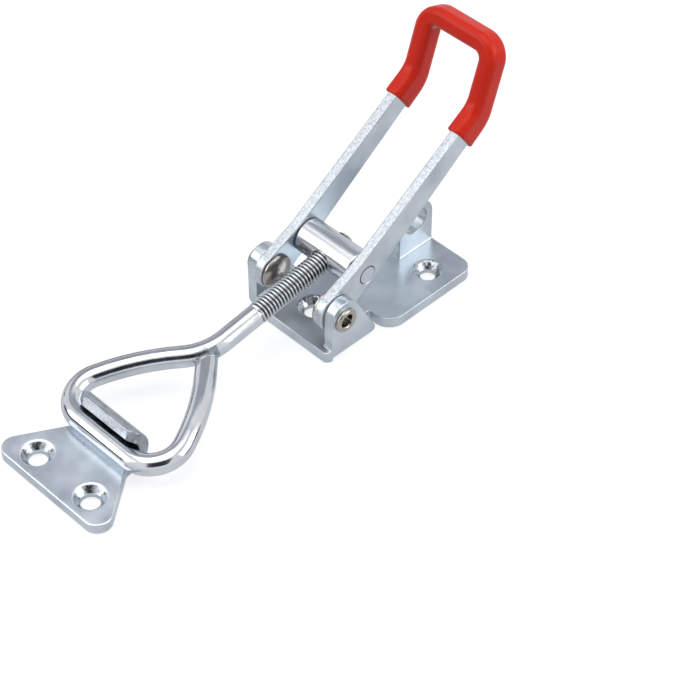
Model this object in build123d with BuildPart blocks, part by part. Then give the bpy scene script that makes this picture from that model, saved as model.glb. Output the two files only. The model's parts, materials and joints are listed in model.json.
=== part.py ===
from build123d import *
from math import acos, asin, cos, degrees, radians, sin, tan
import os

os.makedirs("parts", exist_ok=True)

# Over centre toggle latch, M6 size.
# +X runs from the base plate to the catch plate, +Z away from the mounting surface.
# The origin is the axis of the front screw hole, on the mounting surface.

# Sheet steel of the base plate and the catch plate
sheet = 3.0
bend_inside = 0.5
ear_bend_outside = 1.2
tab_bend_outside = 2.5

# Countersunk screw holes; the one in the wing is a size smaller
screw_hole_d = 4.8
screw_head_d = 8.5
wing_hole_d = 4.2
wing_head_d = 7.9
screw_head_angle = 90

# Base plate: a channel in front, one wing behind it and an upright lock tab
toe_front = 10.0
toe_corner_r = 1.6
toe_root_r = 1.6
base_rear = 40.1
channel_inside = 24.7
ear_front = 8.1
ear_top = 16.8
ear_round_r = 4.5
ear_heel = 8.1
ear_heel_r = 2.0
left_edge = 13.0
left_rear_edge = 22.1
left_corner_r = 3.0
wing_edge = 18.3
wing_front_r = 5.0
wing_rear_r = 3.5
notch_x = 6.6
notch_width = 2.4
notch_bottom = 11.0
notch_corner_r = 0.8
wing_hole_x = 30.5
wing_hole_y = 11.0

# Lock tab, folded up from the wing for a padlock
tab_length = 12.0
tab_outer_face = 3.0
tab_eye_z = 12.5
tab_eye_d = 7.8
tab_relief_top = 4.6

# Handle pivot: one tubular rivet on each side
pivot_x = 4.1
pivot_z = 11.8
rivet_shank_d = 5.6
rivet_head_d = 9.4
rivet_head_rim = 0.6
rivet_head_h = 2.0
rivet_bore_d = 3.6
rivet_bore_depth = 3.4
rivet_collar_d = 6.6
rivet_collar_h = 1.1
boss_d = 7.6
boss_h = 0.3

# Clearances
side_gap = 0.15
head_gap = 0.1
running_gap = 0.05
thread_gap = 0.05
seat_gap = 0.15

# Handle bar: flat strip bent into a U, its legs kinked upwards under the grip
strip = 2.8
handle_angle = 34.7
root_r = 5.2
leg_set_back = 1.2
leg_width_root = 8.4
leg_width_top = 5.8
leg_length = 61.2
kink_angle = 37.2
kink_front_r = 7.0
kink_rear_r = 9.0
rise = 18.1
rise_width = 4.3
corner_inside_r = 3.0

# Dipped grip
coat = 1.2
coat_corner_r = 1.9
grip_start = 53.3

# Trunnion between the handle legs
trunnion_u = 12.3
trunnion_v = -2.05
barrel_d = 9.7
tenon_d = 5.0
barrel_chamfer = 0.4

# Draw bolt: threaded rod that runs out into a closed wire loop
thread_d = 6.0
thread_tail = 4.9
thread_front = 27.5
thread_chamfer = 0.6
wire_d = 5.6
bolt_reach = 77.3
shank_bend_r = 15.0
loop_bow_r = 60.0
loop_front_angle = 23.4
loop_corner_r = 8.0
loop_straight = 17.8

# Catch plate with a hook curled over the loop's front bar
hook_inside_r = 3.4
hook_wrap = 163
hook_left = 11.2
hook_right = 9.0
lip_corner_r = 2.8
catch_edge = 18.8
catch_corner_r = 3.75
catch_width = 37.3
catch_neck = 1.1
catch_neck_r = 2.5
catch_hole_x = 12.9
catch_hole_spacing = 19.4

# Faces and radii that follow from the sizes above
ear_in = channel_inside / 2
ear_out = ear_in + sheet
leg_out = ear_in - side_gap
leg_in = leg_out - strip
wire_r = wire_d / 2

pivot = Vector(pivot_x, 0, pivot_z)
pivot_axis = Axis(pivot, (0, 1, 0))
pivot_section = Plane(origin=pivot, x_dir=(0, 1, 0), z_dir=(1, 0, 0))

# Handle frame: x along the legs from the pivot, y towards the front edge
handle_rad = radians(handle_angle)
leg_plane = Plane(
    origin=pivot,
    x_dir=(-cos(handle_rad), 0, sin(handle_rad)),
    z_dir=(0, 1, 0),
)
rise_rad = radians(handle_angle + kink_angle)
rise_plane = Plane(
    origin=leg_plane.from_local_coords(Vector(leg_length, -leg_set_back, 0)),
    x_dir=(0, 1, 0),
    z_dir=(sin(rise_rad), 0, cos(rise_rad)),
)

# Draw bolt frame: x along the rod from the trunnion to the loop's front bar
trunnion_centre = leg_plane.from_local_coords(Vector(trunnion_u, trunnion_v, 0))
trunnion_axis = Axis(trunnion_centre, (0, 1, 0))
trunnion_section = Plane(origin=trunnion_centre, x_dir=(0, 1, 0), z_dir=(1, 0, 0))
bar_z = sheet + wire_r + seat_gap
rod_slope = asin((trunnion_centre.Z - bar_z) / bolt_reach)
rod_direction = Vector(cos(rod_slope), 0, -sin(rod_slope))
rod_plane = Plane(
    origin=trunnion_centre,
    x_dir=rod_direction,
    z_dir=(sin(rod_slope), 0, cos(rod_slope)),
)
bar_x = trunnion_centre.X + bolt_reach * cos(rod_slope)


def screw_holes(hole_d, head_d, *places):
    """Countersunk through holes in a plate, sunk from its upper face."""
    with Locations(*[(x, y, sheet) for x, y in places]):
        CounterSinkHole(
            radius=hole_d / 2,
            counter_sink_radius=head_d / 2,
            counter_sink_angle=screw_head_angle,
            depth=sheet,
        )


# The lock tab stands on the fold line between it and the wing.
tab_section = Plane.YZ.offset(-base_rear)
tab_r = tab_length / 2
tab_eye_x = tab_r - base_rear
tab_inner_face = tab_outer_face - sheet
fold_strip = sheet + tab_bend_outside

with BuildPart() as lock_tab:
    with BuildSketch(tab_section):
        with Locations((tab_inner_face, 0)):
            Rectangle(sheet, tab_eye_z + tab_r, align=(Align.MIN, Align.MIN))
            Rectangle(fold_strip, sheet, align=(Align.MIN, Align.MIN))
        fillet(
            vertices().sort_by_distance((tab_inner_face, 0))[0], tab_bend_outside
        )
        fillet(vertices().sort_by_distance((tab_outer_face, sheet))[0], bend_inside)
    extrude(amount=tab_length)
    with BuildSketch(Plane.XZ):
        with Locations((tab_eye_x, tab_eye_z)):
            Circle(tab_r)
            Rectangle(tab_length, tab_eye_z, align=(Align.CENTER, Align.MAX))
    extrude(amount=fold_strip + tab_outer_face, both=True, mode=Mode.INTERSECT)
    with BuildSketch(Plane.XZ):
        with Locations((tab_eye_x, tab_eye_z)):
            Circle(tab_eye_d / 2)
    extrude(amount=fold_strip + tab_outer_face, both=True, mode=Mode.SUBTRACT)

# The base plate is one blank: floor and wing flat, ears and lock tab folded up.
relief_r = (base_rear - tab_length - left_rear_edge) / 2
relief_y = tab_relief_top - relief_r
tab_front_x = tab_length - base_rear

with BuildPart() as base_plate:
    with BuildSketch(Plane.YZ.offset(-ear_heel)):
        Rectangle(2 * ear_out, ear_top, align=(Align.CENTER, Align.MIN))
        fillet(vertices().group_by(Axis.Y)[0], ear_bend_outside)
        with Locations((0, sheet)):
            Rectangle(
                channel_inside,
                ear_top,
                align=(Align.CENTER, Align.MIN),
                mode=Mode.SUBTRACT,
            )
        for side in (-ear_in, ear_in):
            fillet(vertices().sort_by_distance((side, sheet))[0], bend_inside)
    extrude(amount=ear_heel + ear_front)
    with BuildSketch(Plane.XZ):
        with BuildLine():
            CenterArc(
                (ear_front - ear_round_r, ear_top - ear_round_r), ear_round_r, 0, 360
            )
            Line((-ear_heel, 0), (ear_front, 0))
        make_hull()
        fillet(vertices().sort_by(Axis.X)[0], ear_heel_r)
    extrude(amount=2 * ear_out, both=True, mode=Mode.INTERSECT)

    with BuildSketch(Plane.XY):
        with BuildLine():
            outline = Polyline(
                (-left_rear_edge, relief_y),
                (-left_rear_edge, -left_edge),
                (-notch_x - notch_width, -left_edge),
                (-notch_x - notch_width, -notch_bottom),
                (-notch_x, -notch_bottom),
                (-notch_x, -ear_in),
                (toe_front, -ear_in),
                (toe_front, ear_out),
                (ear_front, ear_out),
                (ear_front, ear_in),
                (-notch_x, ear_in),
                (-notch_x, notch_bottom),
                (-notch_x - notch_width, notch_bottom),
                (-notch_x - notch_width, wing_edge),
                (-base_rear, wing_edge),
                (-base_rear, tab_outer_face),
                (tab_front_x, tab_outer_face),
                (tab_front_x, relief_y),
            )
            RadiusArc(outline @ 1, outline @ 0, relief_r, short_sagitta=False)
        make_face()
        fillet(
            vertices().sort_by_distance((-notch_x - notch_width, wing_edge))[0],
            wing_front_r,
        )
        fillet(vertices().sort_by_distance((-base_rear, wing_edge))[0], wing_rear_r)
        fillet(
            vertices().sort_by_distance((-left_rear_edge, -left_edge))[0],
            left_corner_r,
        )
        for y in (-ear_in, ear_out):
            fillet(vertices().sort_by_distance((toe_front, y))[0], toe_corner_r)
        for side in (-1, 1):
            for x in (-notch_x, -notch_x - notch_width):
                fillet(
                    vertices().sort_by_distance((x, side * notch_bottom))[0],
                    notch_corner_r,
                )
    extrude(amount=sheet)
    # the toe runs up into the ear beside it
    toe_root = edges().filter_by(Axis.Y).sort_by_distance((ear_front, ear_out, sheet))[0]
    fillet(toe_root, toe_root_r)
    add(lock_tab.part)

    with BuildSketch(Plane.XZ.offset(-ear_out)):
        with Locations((pivot_x, pivot_z)):
            Circle(boss_d / 2)
    extrude(amount=-boss_h)
    with BuildSketch(Plane.XZ.offset(ear_out)):
        with Locations((pivot_x, pivot_z)):
            Circle(boss_d / 2)
    extrude(amount=boss_h)
    with BuildSketch(Plane.XZ):
        with Locations((pivot_x, pivot_z)):
            Circle(rivet_shank_d / 2)
    extrude(amount=2 * ear_out, both=True, mode=Mode.SUBTRACT)
    screw_holes(screw_hole_d, screw_head_d, (0, 0))
    screw_holes(wing_hole_d, wing_head_d, (-wing_hole_x, wing_hole_y))
base_plate.part.label = "base_plate"

# A tubular rivet: domed head inside the leg, hollow end rolled over outside the ear.
head_under = leg_in - head_gap
head_top = head_under - rivet_head_h
head_r = rivet_head_d / 2
dome_h = rivet_head_h - rivet_head_rim
dome_r = (head_r**2 + dome_h**2) / (2 * dome_h)
dome_half = asin(head_r / dome_r) / 2
shank_r = rivet_shank_d / 2
bore_r = rivet_bore_d / 2
collar_r = rivet_collar_d / 2
collar_under = ear_out + boss_h
collar_top = collar_under + rivet_collar_h
collar_mid = (bore_r + collar_r) / 2

with BuildPart() as pivot_rivet_right:
    with BuildSketch(pivot_section):
        with BuildLine():
            dome_point = (
                head_top + dome_r * (1 - cos(dome_half)),
                dome_r * sin(dome_half),
            )
            ThreePointArc((head_top, 0), dome_point, (head_top + dome_h, head_r))
            Polyline(
                (head_top + dome_h, head_r),
                (head_under, head_r),
                (head_under, shank_r),
                (collar_under, shank_r),
                (collar_under, collar_r),
                (collar_under + rivet_collar_h / 2, collar_r),
            )
            ThreePointArc(
                (collar_under + rivet_collar_h / 2, collar_r),
                (collar_top, collar_mid),
                (collar_under + rivet_collar_h / 2, bore_r),
            )
            Polyline(
                (collar_under + rivet_collar_h / 2, bore_r),
                (collar_top - rivet_bore_depth, bore_r),
                (collar_top - rivet_bore_depth, 0),
                (head_top, 0),
            )
        make_face()
    revolve(axis=pivot_axis)
pivot_rivet_right.part.label = "pivot_rivet_right"

with BuildPart() as pivot_rivet_left:
    mirror(pivot_rivet_right.part, about=Plane.XZ)
pivot_rivet_left.part.label = "pivot_rivet_left"


def leg_outline(grow):
    """Side view of the handle, widened by grow on every side."""
    half_root = leg_width_root / 2
    half_top = leg_width_top / 2
    half_rise = rise_width / 2
    kink = radians(kink_angle)
    along = Vector(cos(kink), sin(kink))
    across = Vector(-sin(kink), cos(kink))
    bend = Vector(leg_length, -leg_set_back)
    # how far along the rise its front and rear edges leave the edges of the leg
    front_start = (half_top - half_rise * cos(kink)) / sin(kink)
    front_bend = bend + along * front_start + across * half_rise
    rear_bend = bend - along * front_start - across * half_rise
    end = bend + along * (rise + strip / 2)
    with BuildSketch(leg_plane) as outline:
        with BuildLine():
            CenterArc((0, 0), root_r, 0, 360)
            Line(
                (trunnion_u, -leg_set_back - half_root),
                (trunnion_u, -leg_set_back + half_root),
            )
        make_hull()
        with BuildLine():
            Polyline(
                (trunnion_u, -leg_set_back + half_root),
                front_bend,
                end + across * half_rise,
                end - across * half_rise,
                rear_bend,
                (trunnion_u, -leg_set_back - half_root),
                close=True,
            )
        make_face()
        fillet(vertices().sort_by_distance(front_bend)[0], kink_front_r)
        fillet(vertices().sort_by_distance(rear_bend)[0], kink_rear_r)
        if grow:
            offset(amount=grow, kind=Kind.INTERSECTION)
    return outline.sketch


def front_outline(grow):
    """The U of the handle seen from the front, widened by grow on every side."""
    top = rise + strip / 2
    depth = leg_length + rise
    with BuildSketch(rise_plane) as outline:
        with Locations((0, top + grow)):
            Rectangle(
                2 * (leg_out + grow), depth, align=(Align.CENTER, Align.MAX)
            )
        fillet(vertices().group_by(Axis.Y)[-1], corner_inside_r + strip + grow)
        with Locations((0, top - strip - grow)):
            Rectangle(
                2 * (leg_in - grow),
                depth,
                align=(Align.CENTER, Align.MAX),
                mode=Mode.SUBTRACT,
            )
        for side in (-1, 1):
            inner_corner = (side * (leg_in - grow), top - strip - grow)
            fillet(
                vertices().sort_by_distance(inner_corner)[0], corner_inside_r - grow
            )
    return outline.sketch


# The handle bar is where the side view and the front view of the strip meet.
with BuildPart() as handle_bar:
    extrude(leg_outline(0), amount=2 * leg_out, both=True)
    extrude(front_outline(0), amount=leg_length + rise, both=True, mode=Mode.INTERSECT)
    with BuildSketch(leg_plane):
        Circle(rivet_shank_d / 2 + running_gap)
        with Locations((trunnion_u, trunnion_v)):
            Circle(tenon_d / 2 + running_gap)
    extrude(amount=2 * leg_out, both=True, mode=Mode.SUBTRACT)
handle_bar.part.label = "handle_bar"

# The grip is a skin of even thickness over the bent end of the handle bar.
grip_end = Plane(
    origin=leg_plane.from_local_coords(Vector(grip_start, 0, 0)),
    z_dir=leg_plane.x_dir,
)
with BuildPart() as handle_grip:
    extrude(leg_outline(coat), amount=2 * leg_out, both=True)
    extrude(
        front_outline(coat), amount=leg_length + rise, both=True, mode=Mode.INTERSECT
    )
    split(bisect_by=grip_end, keep=Keep.TOP)
    end_faces = faces().filter_by(grip_end)
    end_edges = end_faces.edges()
    fillet(edges() - end_edges, coat_corner_r)
    add(handle_bar.part, mode=Mode.SUBTRACT)
handle_grip.part.label = "handle_grip"

# The trunnion turns in the handle legs and takes the rod through its barrel.
barrel_r = barrel_d / 2
barrel_half = head_under
tenon_r = tenon_d / 2

with BuildPart() as trunnion:
    with BuildSketch(trunnion_section):
        with BuildLine():
            Polyline(
                (0, 0),
                (0, barrel_r),
                (barrel_half - barrel_chamfer, barrel_r),
                (barrel_half, barrel_r - barrel_chamfer),
                (barrel_half, tenon_r),
                (leg_out, tenon_r),
                (leg_out, 0),
                close=True,
            )
        make_face()
        mirror(about=Plane.YZ)
    revolve(axis=trunnion_axis)
    with BuildSketch(Plane(origin=trunnion_centre, z_dir=rod_direction)):
        Circle(thread_d / 2 + thread_gap)
    extrude(amount=barrel_d, both=True, mode=Mode.SUBTRACT)
trunnion.part.label = "trunnion"

# The draw bolt: rod and loop are one wire, its end welded back on to the shank.
# The loop is pear shaped: each leg leaves the fork steeply and bows inwards to the front.
front_angle = radians(loop_front_angle)
bow_less_corner = (loop_bow_r - loop_corner_r) * cos(front_angle)
fork_angle = acos(
    (shank_bend_r + bow_less_corner - loop_straight / 2) / (loop_bow_r + shank_bend_r)
)
fork_deg = degrees(fork_angle)
fork_x = (
    bolt_reach
    - loop_corner_r * (1 + sin(front_angle))
    - loop_bow_r * (sin(fork_angle) - sin(front_angle))
)
fork_y = shank_bend_r * (1 - cos(fork_angle))
bend_x = fork_x - shank_bend_r * sin(fork_angle)
bow_x = fork_x + loop_bow_r * sin(fork_angle)
bow_y = loop_bow_r * cos(fork_angle) - fork_y
corner_x = bolt_reach - loop_corner_r
corner_y = loop_straight / 2
weld_x = fork_x - fork_y / tan(fork_angle)
weld_point = rod_plane.from_local_coords(Vector(weld_x, 0, 0))
fork_point = rod_plane.from_local_coords(Vector(fork_x, fork_y, 0))

with BuildPart() as draw_bolt:
    with BuildSketch(Plane(origin=trunnion_centre, z_dir=rod_direction).offset(-thread_tail)):
        Circle(thread_d / 2)
    extrude(amount=thread_tail + thread_front)
    rod_ends = faces().filter_by(GeomType.PLANE).edges()
    chamfer(rod_ends, thread_chamfer)
    with BuildLine(rod_plane) as wire_path:
        Line((thread_front - thread_chamfer, 0), (bend_x, 0))
        CenterArc((bend_x, -shank_bend_r), shank_bend_r, 90, -fork_deg)
        CenterArc((bow_x, bow_y), loop_bow_r, 270 - fork_deg, fork_deg - loop_front_angle)
        CenterArc(
            (corner_x, -corner_y), loop_corner_r, 270 - loop_front_angle, 90 + loop_front_angle
        )
        Line((bolt_reach, -corner_y), (bolt_reach, corner_y))
        CenterArc((corner_x, corner_y), loop_corner_r, 0, 90 + loop_front_angle)
        CenterArc(
            (bow_x, -bow_y), loop_bow_r, 90 + loop_front_angle, fork_deg - loop_front_angle
        )
    with BuildSketch(Plane(origin=wire_path.line @ 0, z_dir=wire_path.line % 0)):
        Circle(wire_r)
    sweep()
    # the wire's cut end lies against the shank at the fork
    with BuildSketch(Plane(origin=weld_point, z_dir=fork_point - weld_point)):
        Circle(wire_r)
    extrude(amount=(fork_point - weld_point).length)
draw_bolt.part.label = "draw_bolt"

# The catch plate: a flat plate whose narrow end curls back over the front bar.
hook_outside_r = hook_inside_r + sheet
lip_angle = 270 - hook_wrap
catch_far_x = bar_x + catch_edge
catch_side_y = catch_width / 2 - catch_corner_r

with BuildPart() as latch_plate:
    with BuildSketch(Plane.XZ.offset(-hook_right)):
        with BuildLine():
            outer = CenterArc((bar_x, hook_outside_r), hook_outside_r, lip_angle, hook_wrap)
            inner = CenterArc((bar_x, hook_outside_r), hook_inside_r, lip_angle, hook_wrap)
            Line(outer @ 0, inner @ 0)
            Polyline(
                outer @ 1,
                (bar_x + catch_neck, 0),
                (bar_x + catch_neck, sheet),
                inner @ 1,
            )
        make_face()
    extrude(amount=hook_left + hook_right)
    lip_face = faces().filter_by(GeomType.PLANE).sort_by(Axis.Z)[-1]
    lip_ends = lip_face.edges().group_by(Axis.Y)
    fillet(lip_ends[0] + lip_ends[-1], lip_corner_r)
    with BuildSketch(Plane.XY):
        with BuildLine():
            Line(
                (bar_x + catch_neck, -hook_left),
                (bar_x + catch_neck, hook_right),
            )
            for side in (-1, 1):
                CenterArc(
                    (catch_far_x - catch_corner_r, side * catch_side_y),
                    catch_corner_r,
                    0,
                    360,
                )
        make_hull()
    extrude(amount=sheet)
    for y in (-hook_left, hook_right):
        neck_corner = (bar_x + catch_neck, y, sheet / 2)
        neck_edge = edges().filter_by(Axis.Z).sort_by_distance(neck_corner)[0]
        fillet(neck_edge, catch_neck_r)
    screw_holes(
        screw_hole_d,
        screw_head_d,
        (bar_x + catch_hole_x, -catch_hole_spacing / 2),
        (bar_x + catch_hole_x, catch_hole_spacing / 2),
    )
latch_plate.part.label = "latch_plate"

export_step(base_plate.part, "parts/base_plate.step")
export_step(pivot_rivet_left.part, "parts/pivot_rivet_left.step")
export_step(pivot_rivet_right.part, "parts/pivot_rivet_right.step")
export_step(handle_bar.part, "parts/handle_bar.step")
export_step(handle_grip.part, "parts/handle_grip.step")
export_step(trunnion.part, "parts/trunnion.step")
export_step(draw_bolt.part, "parts/draw_bolt.step")
export_step(latch_plate.part, "parts/latch_plate.step")
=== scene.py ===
import json
from math import acos, atan2, cos, pi, radians, sin

import bmesh
import bpy
from mathutils import Matrix, Vector

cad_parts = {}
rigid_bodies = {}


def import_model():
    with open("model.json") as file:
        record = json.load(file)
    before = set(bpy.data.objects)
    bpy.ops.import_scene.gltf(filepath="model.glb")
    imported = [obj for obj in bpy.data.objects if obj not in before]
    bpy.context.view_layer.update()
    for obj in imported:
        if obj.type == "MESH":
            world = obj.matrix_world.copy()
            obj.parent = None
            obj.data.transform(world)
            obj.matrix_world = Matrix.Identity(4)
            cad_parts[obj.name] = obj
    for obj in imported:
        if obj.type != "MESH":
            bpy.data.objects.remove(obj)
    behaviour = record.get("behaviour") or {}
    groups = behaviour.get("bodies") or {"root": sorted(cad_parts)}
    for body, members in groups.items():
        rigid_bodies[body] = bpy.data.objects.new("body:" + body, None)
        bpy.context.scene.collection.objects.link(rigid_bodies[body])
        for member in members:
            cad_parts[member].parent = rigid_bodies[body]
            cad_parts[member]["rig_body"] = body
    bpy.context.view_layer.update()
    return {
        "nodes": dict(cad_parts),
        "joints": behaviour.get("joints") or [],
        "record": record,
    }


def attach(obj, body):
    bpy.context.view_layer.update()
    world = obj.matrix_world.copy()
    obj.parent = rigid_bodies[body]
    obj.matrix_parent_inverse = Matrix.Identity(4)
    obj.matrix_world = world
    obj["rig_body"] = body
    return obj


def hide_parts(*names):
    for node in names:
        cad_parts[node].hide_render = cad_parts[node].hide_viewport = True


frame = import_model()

# ---------------------------------------------------------------------------
# Base plate
# One blank of 3 mm mild steel, pierced, folded and then barrel plated in zinc with a blue passivation.
# Tumbling in the barrel rounds every sheared edge and leaves the flat faces soft and a little cloudy.
# ---------------------------------------------------------------------------

mounts = {mount["name"]: mount for mount in frame["record"]["mounts"]}
front_hole = Vector(mounts["front_screw_hole"]["pos_m"]).to_2d()
wing_hole = Vector(mounts["wing_screw_hole"]["pos_m"]).to_2d()
# how far from a hole's axis its countersink reaches
CONE_REACH = 0.0043
# the upright part of the normal on a 90 degree countersink, give or take
CONE_LEAN = cos(radians(45))
CONE_SLACK = 0.1
# corners nearer than this are one corner, and faces that meet flatter than this are one face
SAME_CORNER = 2e-6
SAME_FACE = radians(0.6)
# an edge that turns more than this is eased, and one that turns more than this shades as a line
EASED_FROM = radians(32)
LINE_FROM = radians(40)
# the part of a cloud's noise over which its tone and its gloss change
CLOUD_START = 0.3
CLOUD_END = 0.7


def linear(hex_colour):
    """An sRGB hex colour as the linear colour that a shader takes."""
    channels = [int(hex_colour[i : i + 2], 16) / 255 for i in (1, 3, 5)]
    return [
        c / 12.92 if c <= 0.04045 else ((c + 0.055) / 1.055) ** 2.4 for c in channels
    ] + [1.0]


def add_node(tree, kind, inputs=None, **settings):
    """Adds a node with its settings; each input is a value or the socket that feeds it."""
    node = tree.nodes.new(kind)
    for name, value in settings.items():
        setattr(node, name, value)
    for name, value in (inputs or {}).items():
        if isinstance(value, bpy.types.NodeSocket):
            tree.links.new(value, node.inputs[name])
        else:
            node.inputs[name].default_value = value
    return node


def blend_colours(tree, factor, low, high, start=0.0, end=1.0):
    """Runs from one hex colour to another as the factor goes from start to end."""
    ramp = add_node(tree, "ShaderNodeValToRGB", {"Fac": factor})
    ramp.color_ramp.elements[0].color = linear(low)
    ramp.color_ramp.elements[1].color = linear(high)
    ramp.color_ramp.elements[0].position = start
    ramp.color_ramp.elements[1].position = end
    return ramp.outputs["Color"]


def new_finish(name):
    """An empty material; returns it with its node tree and its output node."""
    finish = bpy.data.materials.new(name)
    finish.use_nodes = True
    tree = finish.node_tree
    tree.nodes.clear()
    return finish, tree, add_node(tree, "ShaderNodeOutputMaterial")


def zinc_finish(name, dark, light, cloud_mm, grain_mm, grain_depth_mm, roughness, edge_mm):
    """Zinc plate: soft clouds of tone, a fine pickled grain under it and tumbled edges."""
    finish, tree, output = new_finish(name)
    place = add_node(tree, "ShaderNodeTexCoord").outputs["Object"]
    clouds = add_node(
        tree,
        "ShaderNodeTexNoise",
        {"Vector": place, "Scale": 1000 / cloud_mm, "Detail": 3.0, "Roughness": 0.55},
    )
    grain = add_node(
        tree,
        "ShaderNodeTexNoise",
        {"Vector": place, "Scale": 1000 / grain_mm, "Detail": 2.0},
    )
    tone = blend_colours(tree, clouds.outputs["Fac"], dark, light, CLOUD_START, CLOUD_END)
    gloss = add_node(
        tree,
        "ShaderNodeMapRange",
        {
            "Value": clouds.outputs["Fac"],
            "From Min": CLOUD_START,
            "From Max": CLOUD_END,
            "To Min": roughness[0],
            "To Max": roughness[1],
        },
    )
    tumbled = add_node(tree, "ShaderNodeBevel", {"Radius": edge_mm / 1000}, samples=8)
    relief = add_node(
        tree,
        "ShaderNodeBump",
        {
            "Height": grain.outputs["Fac"],
            "Strength": 1.0,
            "Distance": grain_depth_mm / 1000,
            "Normal": tumbled.outputs["Normal"],
        },
    )
    shader = add_node(
        tree,
        "ShaderNodeBsdfPrincipled",
        {
            "Base Color": tone,
            "Metallic": 1.0,
            "Roughness": gloss.outputs["Result"],
            "Normal": relief.outputs["Normal"],
        },
    )
    tree.links.new(shader.outputs["BSDF"], output.inputs["Surface"])
    return finish


def eased_copy(node, name, edge_r, finish):
    """A smooth copy of a CAD piece, its outer edges rounded if edge_r is set, to stand for it."""
    blank = bmesh.new()
    blank.from_mesh(frame["nodes"][node].data)
    bmesh.ops.remove_doubles(blank, verts=blank.verts, dist=SAME_CORNER)
    bmesh.ops.dissolve_limit(
        blank, angle_limit=SAME_FACE, verts=blank.verts, edges=blank.edges
    )
    if edge_r:
        many_sided = [f for f in blank.faces if len(f.verts) > 4]
        bmesh.ops.triangulate(blank, faces=many_sided)
        sharp = [
            e
            for e in blank.edges
            if e.is_manifold and e.is_convex and e.calc_face_angle() > EASED_FROM
        ]
        bmesh.ops.bevel(
            blank,
            geom=sharp,
            offset=edge_r,
            offset_type="OFFSET",
            affect="EDGES",
            segments=3,
            profile=0.5,
            material=-1,
            clamp_overlap=False,
        )
    mesh = bpy.data.meshes.new(name)
    blank.to_mesh(mesh)
    blank.free()
    mesh.shade_smooth()
    mesh.set_sharp_from_angle(angle=LINE_FROM)
    mesh.materials.append(finish)
    piece = bpy.data.objects.new(name, mesh)
    bpy.context.scene.collection.objects.link(piece)
    soft = piece.modifiers.new("flat_faces", "WEIGHTED_NORMAL")
    soft.keep_sharp = True
    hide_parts(node)
    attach(piece, frame["nodes"][node]["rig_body"])
    return piece


def add_finish(piece, finish):
    """Gives a piece one more finish; returns the number that its faces take to show it."""
    piece.data.materials.append(finish)
    return len(piece.data.materials) - 1


def finish_countersinks(piece, finish, holes):
    """Gives the cones round these hole axes a finish of their own."""
    cone = add_finish(piece, finish)
    for face in piece.data.polygons:
        at_hole = any((face.center.to_2d() - hole).length < CONE_REACH for hole in holes)
        if at_hole and abs(face.normal.z - CONE_LEAN) < CONE_SLACK:
            face.material_index = cone


# A duller zinc on pickled sheet: cool grey, satin, with clouds some 9 mm wide.
dull_sheet = zinc_finish(
    "dull_zinc_plated_sheet_steel",
    "#B1B9C1",
    "#CDD5DB",
    cloud_mm=9.0,
    grain_mm=0.45,
    grain_depth_mm=0.012,
    roughness=(0.26, 0.38),
    edge_mm=0.45,
)
base_plate = eased_copy("base_plate", "base_plate_eased", 0, dull_sheet)
# Countersink cones: painted darker than the sheet, in small bright and dark flecks that are painted
# glints and shade of the shiny cut.
cut_cone = zinc_finish(
    "zinc_plated_countersink",
    "#80878F",
    "#CFD4D9",
    cloud_mm=0.8,
    grain_mm=0.5,
    grain_depth_mm=0.045,
    roughness=(0.16, 0.3),
    edge_mm=0.2,
)
finish_countersinks(base_plate, cut_cone, [front_hole, wing_hole])

# ---------------------------------------------------------------------------
# Latch plate
# A second blank of the same 3 mm sheet; its face is painted a shade paler, as painted light for the
# brighter light on the catch plate.
# Its narrow end is curled back into the hook that takes the loop.
# ---------------------------------------------------------------------------

LATCH_PLATE_EDGE_R = 0.00035
catch_mount = mounts["catch_screw_holes"]
between_holes = Vector(catch_mount["pos_m"]).to_2d()
to_hole = Vector((0.0, catch_mount["dims"]["spacing_y_mm"] / 2000))
SHEET = 0.003
# the hook's back, painted darker as shade, starts at this height, and the sheared end of its lip at
# this
CURL_BOTTOM = 0.0045
LIP_BOTTOM = 0.0085
# the sheared end faces the front and 17 degrees upwards, give or take 14 degrees
LIP_RISE = radians(17)
LIP_SLACK = radians(14)
# a sheared side stands upright, so its normal has less than this along Z
SIDE_RISE = 0.3

# Blue passivated zinc on pickled sheet: the same satin and clouds, painted a shade paler as painted
# light on the catch plate.
plated_sheet = zinc_finish(
    "zinc_plated_sheet_steel",
    "#C3CBD3",
    "#DDE5EC",
    cloud_mm=9.0,
    grain_mm=0.45,
    grain_depth_mm=0.012,
    roughness=(0.24, 0.36),
    edge_mm=0.45,
)
# Cut end of the hook's lip: whitish and torn, with pits some 0.7 mm across; its near white tone is
# partly a painted highlight, as the face looks forward and up into the light.
cut_lip = zinc_finish(
    "zinc_plated_cut_lip",
    "#BFC5CB",
    "#EEF1F3",
    cloud_mm=0.7,
    grain_mm=0.3,
    grain_depth_mm=0.02,
    roughness=(0.25, 0.4),
    edge_mm=0.35,
)
# Outside of the curl: painted darker, as painted shade on the hook's back, and a little rougher.
stretched_sheet = zinc_finish(
    "zinc_plated_stretched_sheet",
    "#8D959C",
    "#B4BCC3",
    cloud_mm=2.0,
    grain_mm=0.4,
    grain_depth_mm=0.018,
    roughness=(0.26, 0.4),
    edge_mm=0.45,
)
latch_plate = eased_copy(
    "latch_plate", "latch_plate_eased", LATCH_PLATE_EDGE_R, plated_sheet
)
lip_end = add_finish(latch_plate, cut_lip)
finish_countersinks(
    latch_plate, cut_cone, [between_holes + to_hole, between_holes - to_hole]
)
sheared_side = add_finish(latch_plate, dull_sheet)
hook_back = add_finish(latch_plate, stretched_sheet)
lip_facing = Vector((cos(LIP_RISE), 0.0, sin(LIP_RISE)))
for face in latch_plate.data.polygons:
    if face.center.z > LIP_BOTTOM and face.normal.dot(lip_facing) > cos(LIP_SLACK):
        face.material_index = lip_end
    elif face.center.z < SHEET and abs(face.normal.z) < SIDE_RISE:
        face.material_index = sheared_side
    elif face.center.z > CURL_BOTTOM:
        face.material_index = hook_back

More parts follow.
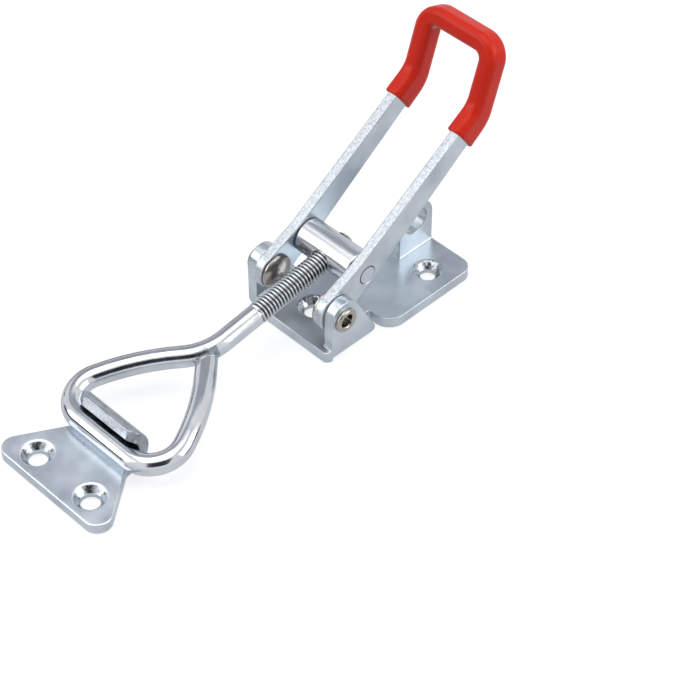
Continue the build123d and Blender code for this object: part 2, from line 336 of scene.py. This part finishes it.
# ---------------------------------------------------------------------------
# Handle bar
# A blanked steel strip bent into a U and kinked upwards, plated in the duller zinc.
# Its broad faces are smooth, and the sheared faces along its edges are rough and whitish.
# ---------------------------------------------------------------------------

STRIP_EDGE_R = 0.0003
# a broad face looks sideways, so its normal has at least this along Y
BROAD_FACE_Y = 0.6

handle_bar = eased_copy(
    "handle_bar", "handle_bar_eased", STRIP_EDGE_R, dull_sheet
)
# Sheared edge under zinc: short tears some 0.6 mm across, paler than the rolled face.
sheared_edge = zinc_finish(
    "zinc_plated_sheared_edge",
    "#A2A9B1",
    "#D2D7DC",
    cloud_mm=0.6,
    grain_mm=0.3,
    grain_depth_mm=0.018,
    roughness=(0.3, 0.42),
    edge_mm=0.35,
)
torn_face = add_finish(handle_bar, sheared_edge)
for face in handle_bar.data.polygons:
    if abs(face.normal.y) < BROAD_FACE_Y:
        face.material_index = torn_face

# ---------------------------------------------------------------------------
# Handle grip
# A skin of red PVC, made by dipping the hot handle end in plastisol and curing it.
# ---------------------------------------------------------------------------

GRIP_EDGE_R = 0.0004
# the liquid skin draws round over the strip's edges, and runs off in slow waves
SKIN_ROUNDING = 0.0014
WAVE_MM = 6.0
WAVE_DEPTH = 0.0002

# Dipped PVC: saturated red with a soft gloss, and slow waves left by the run-off.
dipped_vinyl, tree, output = new_finish("dipped_pvc_plastisol")
place = add_node(tree, "ShaderNodeTexCoord").outputs["Object"]
run_off = add_node(
    tree, "ShaderNodeTexNoise", {"Vector": place, "Scale": 1000 / WAVE_MM, "Detail": 1.0}
)
skin = blend_colours(tree, run_off.outputs["Fac"], "#DA2006", "#E62C0A")
rounded = add_node(tree, "ShaderNodeBevel", {"Radius": SKIN_ROUNDING}, samples=8)
waves = add_node(
    tree,
    "ShaderNodeBump",
    {
        "Height": run_off.outputs["Fac"],
        "Strength": 1.0,
        "Distance": WAVE_DEPTH,
        "Normal": rounded.outputs["Normal"],
    },
)
shader = add_node(
    tree,
    "ShaderNodeBsdfPrincipled",
    {
        "Base Color": skin,
        "Roughness": 0.32,
        "Specular IOR Level": 0.26,
        "Normal": waves.outputs["Normal"],
    },
)
tree.links.new(shader.outputs["BSDF"], output.inputs["Surface"])
handle_grip = eased_copy(
    "handle_grip", "handle_grip_eased", GRIP_EDGE_R, dipped_vinyl
)
# Kept out of the bright metal, where it would leave stray red streaks.
handle_grip.visible_glossy = False

# ---------------------------------------------------------------------------
# Pivot rivets
# Tubular rivets of nickel plated steel: domed inside the handle legs, rolled over outside the ears.
# ---------------------------------------------------------------------------

RIVET_EDGE_R = 0.00012
RUB_MM = 1.2

# Nickel plate: warm grey and bright, with faint rubbing from the rivet set.
nickel, tree, output = new_finish("nickel_plated_rivet_steel")
place = add_node(tree, "ShaderNodeTexCoord").outputs["Object"]
rubbed = add_node(
    tree, "ShaderNodeTexNoise", {"Vector": place, "Scale": 1000 / RUB_MM, "Detail": 3.0}
)
tone = blend_colours(tree, rubbed.outputs["Fac"], "#8B8781", "#C0BBB3")
gloss = add_node(
    tree,
    "ShaderNodeMapRange",
    {"Value": rubbed.outputs["Fac"], "To Min": 0.12, "To Max": 0.3},
)
shader = add_node(
    tree,
    "ShaderNodeBsdfPrincipled",
    {"Base Color": tone, "Metallic": 1.0, "Roughness": gloss.outputs["Result"]},
)
tree.links.new(shader.outputs["BSDF"], output.inputs["Surface"])
for side in ("left", "right"):
    eased_copy(
        f"pivot_rivet_{side}", f"rivet_{side}_eased", RIVET_EDGE_R, nickel
    )

# ---------------------------------------------------------------------------
# Trunnion
# A turned steel barrel with a tenon at each end, which the handle legs carry.
# ---------------------------------------------------------------------------

BARREL_EDGE_R = 0.0003
LINE_MM = 0.5
LINE_STRETCH = 25
LINE_DEPTH = 0.00002
# a tenon's eased rim lies outside this, and its normal has between these along Y
TENON_EDGE_Y = 0.0116
RIM_LEAN = (0.1, 0.95)

# Bright drawn bar under zinc: faint lines along the barrel.
# They are drawn 0.5 mm wide, because the real ones are too fine to show.
drawn_bar, tree, output = new_finish("zinc_plated_drawn_steel_bar")
place = add_node(tree, "ShaderNodeTexCoord").outputs["Object"]
along = add_node(
    tree, "ShaderNodeMapping", {"Vector": place, "Scale": (1.0, 1 / LINE_STRETCH, 1.0)}
)
lines = add_node(
    tree,
    "ShaderNodeTexNoise",
    {"Vector": along.outputs["Vector"], "Scale": 1000 / LINE_MM, "Detail": 2.0},
)
tone = blend_colours(tree, lines.outputs["Fac"], "#A8ABB2", "#E0E2E6")
groove = add_node(
    tree,
    "ShaderNodeBump",
    {"Height": lines.outputs["Fac"], "Strength": 1.0, "Distance": LINE_DEPTH},
)
shader = add_node(
    tree,
    "ShaderNodeBsdfPrincipled",
    {
        "Base Color": tone,
        "Metallic": 1.0,
        "Roughness": 0.24,
        "Normal": groove.outputs["Normal"],
    },
)
tree.links.new(shader.outputs["BSDF"], output.inputs["Surface"])
trunnion = eased_copy(
    "trunnion", "trunnion_eased", BARREL_EDGE_R, drawn_bar
)
# Painted shade: a dark line stands in the gap round each tenon.
dried_salts, tree, output = new_finish("dried_plating_salts")
shader = add_node(
    tree,
    "ShaderNodeBsdfPrincipled",
    {"Base Color": linear("#45494F"), "Roughness": 0.6},
)
tree.links.new(shader.outputs["BSDF"], output.inputs["Surface"])
tenon_rim = add_finish(trunnion, dried_salts)
for face in trunnion.data.polygons:
    if abs(face.center.y) > TENON_EDGE_Y and RIM_LEAN[0] < abs(face.normal.y) < RIM_LEAN[1]:
        face.material_index = tenon_rim

# ---------------------------------------------------------------------------
# Draw bolt
# A 5.6 mm steel wire with a rolled M6 thread on one end; the other end is bent into a
# closed loop and butt welded back on to the shank, and the whole is plated bright.
# ---------------------------------------------------------------------------

# It is shaped in millimetres, lying along X from the trunnion's centre, and then put in place.
joints = {joint["name"]: joint for joint in frame["joints"]}
trunnion_centre = Vector(joints["trunnion_swing"]["pos_m"]) * 1000
rod_way = Vector(joints["bolt_adjust"]["axis"])
rod_slope = atan2(-rod_way.z, rod_way.x)
WIRE_R = 2.8
BOLT_REACH = 77.3
SHANK_BEND_R = 15.0
LOOP_BOW_R = 60.0
LOOP_FRONT_ANGLE = radians(23.4)
LOOP_CORNER_R = 8.0
LOOP_STRAIGHT = 17.8
BEND_STEP = radians(4)
LEAST_BEND_STEPS = 6

THREAD_R = 3.0
THREAD_ROOT_R = 2.38
THREAD_PITCH = 1.0
THREAD_TAIL = -4.9
THREAD_FRONT = 27.5
THREAD_CHAMFER = 0.6
THREAD_RUN_OUT = 1.3
TURN_STEPS = 36
# turns wound past the ends and cut off again, so that both ends are square
SPARE_TURNS = 4
SEAM = 1e-3
# painted shade fills the roots this high, and a painted highlight covers the crests this deep
ROOT_FILL = 0.08
CREST_WEAR = 0.06
# the ribs are steep, so only an edge that turns more than this shades as a line
CREST_LINE_FROM = radians(50)
# the thread's finish ends this far short of its front
THREAD_FINISH_GAP = 0.6

# the leg's end sinks into the shank and is pressed flatter on the way there
WELD_DEPTH = 1.5
WELD_DIP = 1.8
WELD_DIP_LENGTH = 18.0
# the middle of the dark weld patch, from where the centre lines of leg and shank meet, and its reach
WELD_SCAR_PLACE = Vector((0.9, 2.4, 0.6))
WELD_SCAR_R = 3.8

# One pitch of rolled thread, from root to root, with rounded crests: shares of pitch and of depth.
thread_form = [
    (0.00, 0.00), (0.10, 0.10), (0.32, 0.80), (0.42, 0.97), (0.50, 1.00),
    (0.58, 0.97), (0.68, 0.80), (0.90, 0.10), (1.00, 0.00),
]

wire = bmesh.new()
first_turn = THREAD_TAIL - SPARE_TURNS / 2 * THREAD_PITCH
ridge = [
    wire.verts.new(
        (
            first_turn + share * THREAD_PITCH,
            0,
            THREAD_ROOT_R + depth * (THREAD_R - THREAD_ROOT_R),
        )
    )
    for share, depth in thread_form
]
edges = [wire.edges.new(pair) for pair in zip(ridge, ridge[1:])]
turns = int((THREAD_FRONT - THREAD_TAIL) / THREAD_PITCH) + SPARE_TURNS
bmesh.ops.spin(
    wire,
    geom=ridge + edges,
    cent=(0, 0, 0),
    axis=(1, 0, 0),
    dvec=(THREAD_PITCH / TURN_STEPS, 0, 0),
    angle=2 * pi * turns,
    steps=TURN_STEPS * turns,
    use_merge=False,
    use_duplicate=False,
)
bmesh.ops.remove_doubles(wire, verts=wire.verts, dist=SEAM)
for cut, way in ((THREAD_TAIL, -1), (THREAD_FRONT, 1)):
    bmesh.ops.bisect_plane(
        wire,
        geom=wire.verts[:] + wire.edges[:] + wire.faces[:],
        dist=1e-5,
        plane_co=(cut, 0, 0),
        plane_no=(way, 0, 0),
        clear_outer=True,
    )
# The thread starts with a chamfer and runs out into the plain wire.
for v in wire.verts:
    r = Vector((0, v.co.y, v.co.z)).length
    run_out = (v.co.x - THREAD_FRONT + THREAD_RUN_OUT) / THREAD_RUN_OUT
    run_out = min(1.0, max(0.0, run_out))
    wanted = r + (WIRE_R - r) * run_out
    wanted = min(wanted, THREAD_R - THREAD_CHAMFER + (v.co.x - THREAD_TAIL))
    v.co.y *= wanted / r
    v.co.z *= wanted / r


def open_ring(shape, x):
    """The boundary edges of the wire that lie at this place along the rod."""
    return [
        e
        for e in shape.edges
        if e.is_boundary and all(abs(v.co.x - x) < SEAM for v in e.verts)
    ]


def run(end, length):
    """Draws the wire on in a straight line; an end is its ring, its centre and its heading."""
    ring, centre, heading = end
    step = Vector((cos(heading), sin(heading), 0)) * length
    new = bmesh.ops.extrude_edge_only(wire, edges=ring)["geom"]
    bmesh.ops.translate(
        wire, verts=[g for g in new if isinstance(g, bmesh.types.BMVert)], vec=step
    )
    ring = [g for g in new if isinstance(g, bmesh.types.BMEdge) and g.is_boundary]
    return ring, centre + step, heading


def bend(end, angle, radius):
    """Bends the wire about an upright axis, to the left for a positive angle."""
    ring, centre, heading = end
    side = 1 if angle > 0 else -1
    middle = centre + Vector((-sin(heading), cos(heading), 0)) * radius * side
    last = bmesh.ops.spin(
        wire,
        geom=ring,
        cent=middle,
        axis=(0, 0, 1),
        dvec=(0, 0, 0),
        angle=angle,
        steps=max(LEAST_BEND_STEPS, round(abs(angle) / BEND_STEP)),
        use_merge=False,
        use_duplicate=False,
    )["geom_last"]
    ring = [g for g in last if isinstance(g, bmesh.types.BMEdge)]
    centre = middle + Matrix.Rotation(angle, 3, "Z") @ (centre - middle)
    return ring, centre, heading + angle


# The loop is pear shaped: its legs leave the fork steeply and bow inwards to the front.
fork_angle = acos(
    (
        SHANK_BEND_R
        + (LOOP_BOW_R - LOOP_CORNER_R) * cos(LOOP_FRONT_ANGLE)
        - LOOP_STRAIGHT / 2
    )
    / (LOOP_BOW_R + SHANK_BEND_R)
)
fork_x = (
    BOLT_REACH
    - LOOP_CORNER_R * (1 + sin(LOOP_FRONT_ANGLE))
    - LOOP_BOW_R * (sin(fork_angle) - sin(LOOP_FRONT_ANGLE))
)
fork_y = SHANK_BEND_R * (1 - cos(fork_angle))
bend_x = fork_x - SHANK_BEND_R * sin(fork_angle)
corner_angle = pi / 2 + LOOP_FRONT_ANGLE
bow_angle = fork_angle - LOOP_FRONT_ANGLE
bmesh.ops.holes_fill(wire, edges=open_ring(wire, THREAD_TAIL), sides=0)
end = (open_ring(wire, THREAD_FRONT), Vector((THREAD_FRONT, 0, 0)), 0.0)
end = run(end, bend_x - THREAD_FRONT)
end = bend(end, -fork_angle, SHANK_BEND_R)
shank = wire.faces[:]
end = bend(end, bow_angle, LOOP_BOW_R)
end = bend(end, corner_angle, LOOP_CORNER_R)
end = run(end, LOOP_STRAIGHT)
end = bend(end, corner_angle, LOOP_CORNER_R)
leg_start = len(wire.verts)
end = bend(end, bow_angle, LOOP_BOW_R)
end = run(end, fork_y / sin(fork_angle) + WELD_DEPTH)
bmesh.ops.edgeloop_fill(wire, edges=end[0])
# The last leg is pressed flatter towards its weld, so its end butts against the shank's flank.
wire.verts.ensure_lookup_table()
weld_x = fork_x - fork_y * cos(fork_angle) / sin(fork_angle)
for v in wire.verts[leg_start:]:
    near = min(1.0, max(0.0, 1 - (v.co.x - weld_x) / WELD_DIP_LENGTH))
    v.co.z -= WELD_DIP * near**2 * (v.co.z + WIRE_R) / (2 * WIRE_R)

draw_bolt = bpy.data.objects.new(
    "draw_bolt_threaded", bpy.data.meshes.new("draw_bolt_threaded")
)
bpy.context.scene.collection.objects.link(draw_bolt)
# Bright zinc on drawn wire: near chrome, with the faintest drawing marks.
bright_wire = zinc_finish(
    "bright_zinc_plated_wire",
    "#BFC2C8",
    "#D2D5DA",
    cloud_mm=5.0,
    grain_mm=0.8,
    grain_depth_mm=0.004,
    roughness=(0.1, 0.17),
    edge_mm=0.1,
)
# Rolled thread: painted shade darkens the roots and a painted highlight lightens the crests, set by
# the distance from the rod's axis.
rolled_thread, tree, output = new_finish("zinc_plated_rolled_thread")
place = add_node(tree, "ShaderNodeTexCoord").outputs["Object"]
rod_axis = add_node(
    tree,
    "ShaderNodeMapping",
    {
        "Vector": place,
        "Location": trunnion_centre / 1000,
        "Rotation": (0.0, rod_slope, 0.0),
    },
    vector_type="TEXTURE",
)
across = add_node(
    tree,
    "ShaderNodeVectorMath",
    {0: rod_axis.outputs["Vector"], 1: (0.0, 1.0, 1.0)},
    operation="MULTIPLY",
)
radius = add_node(
    tree, "ShaderNodeVectorMath", {0: across.outputs["Vector"]}, operation="LENGTH"
)
height = add_node(
    tree,
    "ShaderNodeMapRange",
    {
        "Value": radius.outputs["Value"],
        "From Min": (THREAD_ROOT_R + ROOT_FILL) / 1000,
        "From Max": (THREAD_R - CREST_WEAR) / 1000,
    },
)
tone = blend_colours(tree, height.outputs["Result"], "#50555B", "#D0D3D7")
shader = add_node(
    tree,
    "ShaderNodeBsdfPrincipled",
    {"Base Color": tone, "Metallic": 1.0, "Roughness": 0.2},
)
tree.links.new(shader.outputs["BSDF"], output.inputs["Surface"])
# Butt weld under zinc: dull, dark and mottled, a weld mark with painted shade for the crease where the
# leg meets the shank.
weld_scar = zinc_finish(
    "zinc_plated_butt_weld",
    "#7D838A",
    "#BCC1C6",
    cloud_mm=1.5,
    grain_mm=0.4,
    grain_depth_mm=0.02,
    roughness=(0.18, 0.32),
    edge_mm=0.1,
)
draw_bolt.data.materials.append(bright_wire)
threaded_end = add_finish(draw_bolt, rolled_thread)
welded_spot = add_finish(draw_bolt, weld_scar)
weld_middle = Vector((weld_x, 0.0, 0.0)) + WELD_SCAR_PLACE
for face in shank:
    if (face.calc_center_median() - weld_middle).length < WELD_SCAR_R:
        face.material_index = welded_spot
bmesh.ops.recalc_face_normals(wire, faces=wire.faces)
rod_place = Matrix.Translation(trunnion_centre) @ Matrix.Rotation(rod_slope, 4, "Y")
bmesh.ops.transform(wire, matrix=Matrix.Scale(0.001, 4) @ rod_place, verts=wire.verts)
wire.to_mesh(draw_bolt.data)
wire.free()
draw_bolt.data.shade_smooth()
draw_bolt.data.set_sharp_from_angle(angle=CREST_LINE_FROM)
thread_reach = (THREAD_FRONT - THREAD_FINISH_GAP) * cos(rod_slope)
for face in draw_bolt.data.polygons:
    if face.center.x < (trunnion_centre.x + thread_reach) / 1000:
        face.material_index = threaded_end
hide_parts("draw_bolt")
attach(draw_bolt, "bolt")

# ---------------------------------------------------------------------------
# Studio
# A pale floor, a soft overhead lamp and two side lamps. Dark cards and a grey board that only the
# metal sees give it the grey bands that plated steel shows on a white table.
# ---------------------------------------------------------------------------

LATCH_MIDDLE = (0.02, 0.0, 0.02)
FLOOR_HALF = 4.0
# the floor lies this far below the plates, so that they stand clear of it
FLOOR_GAP = 0.0004
# how strongly the floor glows to the camera near the latch, and to the metal anywhere
GLOW_NEAR = 0.72
GLOW_IN_METAL = 0.46
# its glow begins to rise at this distance, and it is plain white from this distance on
GLOW_RISES = 0.2
GLOW_WHITE = 1.6

sweep = bmesh.new()
bmesh.ops.create_grid(sweep, x_segments=8, y_segments=8, size=FLOOR_HALF)
bmesh.ops.translate(sweep, verts=sweep.verts, vec=(0, 0, -FLOOR_GAP))
mesh = bpy.data.meshes.new("studio_floor")
sweep.to_mesh(mesh)
sweep.free()
floor = bpy.data.objects.new("studio_floor", mesh)
bpy.context.scene.collection.objects.link(floor)
paper, tree, output = new_finish("white_paper_sweep")
rays = add_node(tree, "ShaderNodeLightPath")
in_metal = add_node(
    tree,
    "ShaderNodeMath",
    {0: rays.outputs["Is Glossy Ray"], 1: GLOW_IN_METAL},
    operation="MULTIPLY",
)
# It stands in for paper that turns up into a lit wall, so its glow rises to white further out.
place = add_node(tree, "ShaderNodeTexCoord").outputs["Object"]
away = add_node(tree, "ShaderNodeVectorMath", {0: place}, operation="LENGTH")
lit = add_node(
    tree,
    "ShaderNodeMapRange",
    {
        "Value": away.outputs["Value"],
        "From Min": GLOW_RISES,
        "From Max": GLOW_WHITE,
        "To Min": GLOW_NEAR,
        "To Max": 1.0,
    },
)
in_view = add_node(
    tree,
    "ShaderNodeMath",
    {0: rays.outputs["Is Camera Ray"], 1: lit.outputs["Result"], 2: in_metal.outputs["Value"]},
    operation="MULTIPLY_ADD",
)
matt = add_node(tree, "ShaderNodeBsdfDiffuse", {"Color": linear("#AEB0B4")})
glow = add_node(
    tree,
    "ShaderNodeEmission",
    {"Color": linear("#FFFFFF"), "Strength": in_view.outputs["Value"]},
)
both = add_node(
    tree, "ShaderNodeAddShader", {0: matt.outputs["BSDF"], 1: glow.outputs["Emission"]}
)
tree.links.new(both.outputs["Shader"], output.inputs["Surface"])
mesh.materials.append(paper)

# The walls show white to the camera and in the metal, and fill the shadows only softly.
WALL_GLOW = 1.0
WALL_FILL = 0.4

world = bpy.data.worlds.new("studio_walls")
bpy.context.scene.world = world
world.use_nodes = True
tree = world.node_tree
tree.nodes.clear()
rays = add_node(tree, "ShaderNodeLightPath")
seen_or_mirrored = add_node(
    tree,
    "ShaderNodeMath",
    {0: rays.outputs["Is Camera Ray"], 1: rays.outputs["Is Glossy Ray"]},
    operation="MAXIMUM",
)
seen = add_node(
    tree,
    "ShaderNodeMath",
    {0: seen_or_mirrored.outputs["Value"], 1: rays.outputs["Is Transmission Ray"]},
    operation="MAXIMUM",
)
shown = add_node(
    tree, "ShaderNodeBackground", {"Color": linear("#FFFFFF"), "Strength": WALL_GLOW}
)
filling = add_node(
    tree, "ShaderNodeBackground", {"Color": linear("#F4F7FF"), "Strength": WALL_FILL}
)
pick = add_node(
    tree,
    "ShaderNodeMixShader",
    {0: seen.outputs["Value"], 1: filling.outputs["Background"], 2: shown.outputs["Background"]},
)
add_node(tree, "ShaderNodeOutputWorld", {"Surface": pick.outputs["Shader"]})


def aim(thing, place, target):
    """Sets a lamp or a card at a place so that it faces a target."""
    thing.matrix_world = Matrix.Translation(place) @ (
        (Vector(target) - Vector(place)).to_track_quat("-Z", "Y").to_matrix().to_4x4()
    )


# each lamp's name, place, size and watts
for name, place, size, watts in (
    ("overhead_lamp", (0.1, -0.1, 1.2), 0.9, 4.5),
    ("left_lamp", (0.85, -0.6, 0.65), 0.8, 3.6),
    ("right_lamp", (-0.6, 0.85, 0.6), 0.8, 5.0),
):
    lamp = bpy.data.objects.new(name, bpy.data.lights.new(name, "AREA"))
    lamp.data.size = size
    lamp.data.energy = watts
    bpy.context.scene.collection.objects.link(lamp)
    aim(lamp, place, LATCH_MIDDLE)

# Black paper on flat boards: it draws the dark bands along the wire and the barrel.
black_paper, tree, output = new_finish("black_paper_board")
board = add_node(tree, "ShaderNodeBsdfDiffuse", {"Color": linear("#4A4D53")})
tree.links.new(board.outputs["BSDF"], output.inputs["Surface"])
# The grey board glows evenly in place of a lit board, and keeps faces that look up and back from going
# white.
grey_board, tree, output = new_finish("evenly_glowing_board")
board = add_node(
    tree, "ShaderNodeEmission", {"Color": linear("#B8BCC4"), "Strength": 1.0}
)
tree.links.new(board.outputs["Emission"], output.inputs["Surface"])
# each board's name, place, width and height, and what covers it
for name, place, size, cover in (
    ("card_at_camera", (0.56, 0.62, 0.62), (0.85, 0.72), black_paper),
    ("card_behind", (-0.3, -1.2, 0.12), (1.2, 0.24), black_paper),
    ("card_left", (0.9, -0.9, 0.15), (0.9, 0.3), black_paper),
    ("card_right", (-0.8, 0.9, 0.12), (0.8, 0.24), black_paper),
    ("board_above", (-0.62, -0.78, 0.9), (1.3, 0.9), grey_board),
):
    sheet = bmesh.new()
    bmesh.ops.create_grid(sheet, x_segments=2, y_segments=2, size=0.5)
    bmesh.ops.scale(sheet, verts=sheet.verts, vec=(size[0], size[1], 1))
    mesh = bpy.data.meshes.new(name)
    sheet.to_mesh(mesh)
    sheet.free()
    card = bpy.data.objects.new(name, mesh)
    bpy.context.scene.collection.objects.link(card)
    mesh.materials.append(cover)
    aim(card, place, LATCH_MIDDLE)
    for seen_by in ("camera", "diffuse", "shadow", "transmission", "volume_scatter"):
        setattr(card, f"visible_{seen_by}", False)

# ---------------------------------------------------------------------------
# Camera
# A long lens looks down on the latch from the loop's end, with the handle rising behind.
# ---------------------------------------------------------------------------

CAMERA_SPOT = Vector((0.29057, 0.30546, 0.40846))
CAMERA_BACK = Vector((0.49674, 0.50566, 0.70538))
CAMERA_RIGHT = Vector((-0.71337, 0.70079, 0.0))
LENS_MM = 120.0
SENSOR_MM = 36.0

lens = bpy.data.cameras.new("studio_camera")
lens.lens = LENS_MM
lens.sensor_width = SENSOR_MM
lens.clip_start = 0.02
lens.clip_end = 20.0
camera = bpy.data.objects.new("studio_camera", lens)
bpy.context.scene.collection.objects.link(camera)
back = CAMERA_BACK.normalized()
right = (CAMERA_RIGHT - back * CAMERA_RIGHT.dot(back)).normalized()
up = back.cross(right)
turn = Matrix((right, up, back)).transposed()
camera.matrix_world = Matrix.Translation(CAMERA_SPOT) @ turn.to_4x4()
bpy.context.scene.camera = camera

bpy.context.scene.view_settings.view_transform = "Standard"
